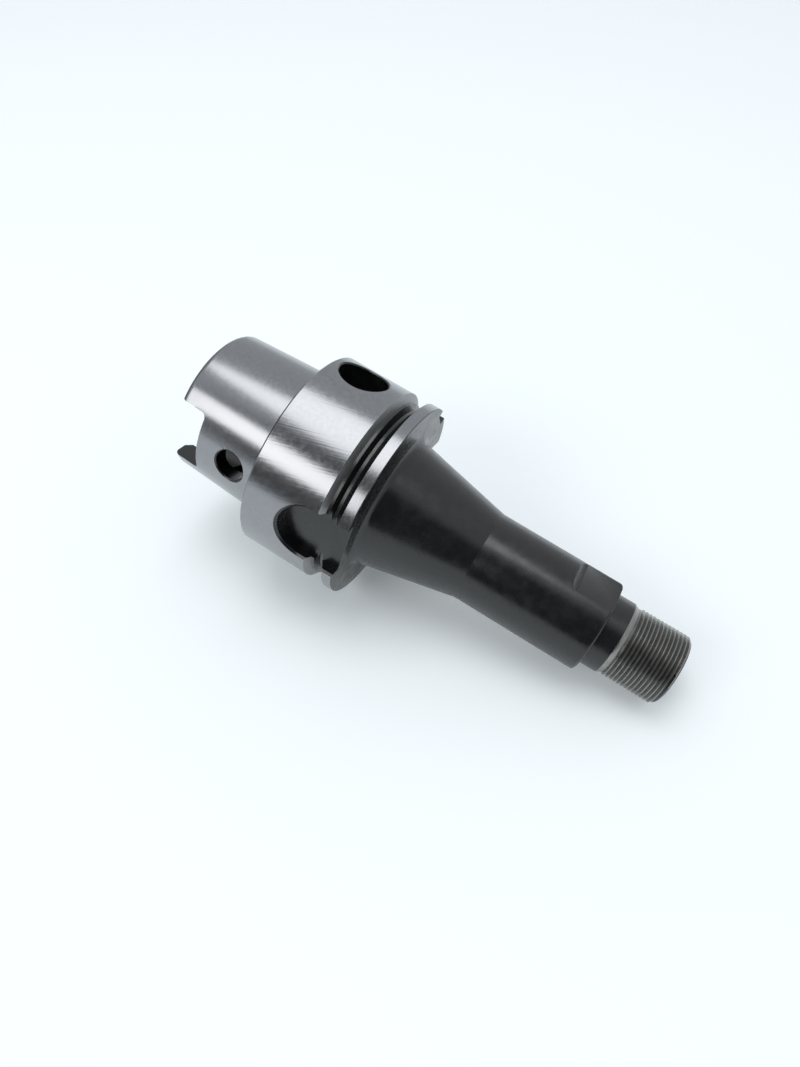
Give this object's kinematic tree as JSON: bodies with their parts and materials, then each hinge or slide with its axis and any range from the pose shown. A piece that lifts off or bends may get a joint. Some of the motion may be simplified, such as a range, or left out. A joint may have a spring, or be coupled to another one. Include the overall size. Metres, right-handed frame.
{
  "type": "collet chuck holder",
  "caption": "Hollow taper shank tool holder: keyed gripper flange, slim conical nose with spanner flats, collet seat and outside thread for the clamping nut.",
  "frame": {"origin": "centre of the shank's open end, on the axis, where the holder stands on end", "axes": "+Z along the axis from the open end of the shank towards the collet nose, +X through the wide flange keyway"},
  "size_m": [0.04, 0.04, 0.1],
  "materials": {
    "tool_steel": "satin black oxide, with the taper, contact face, flange land and rim ground bright"
  },
  "bodies": {
    "root": {"holder_body": "tool_steel"}
  },
  "joints": []
}
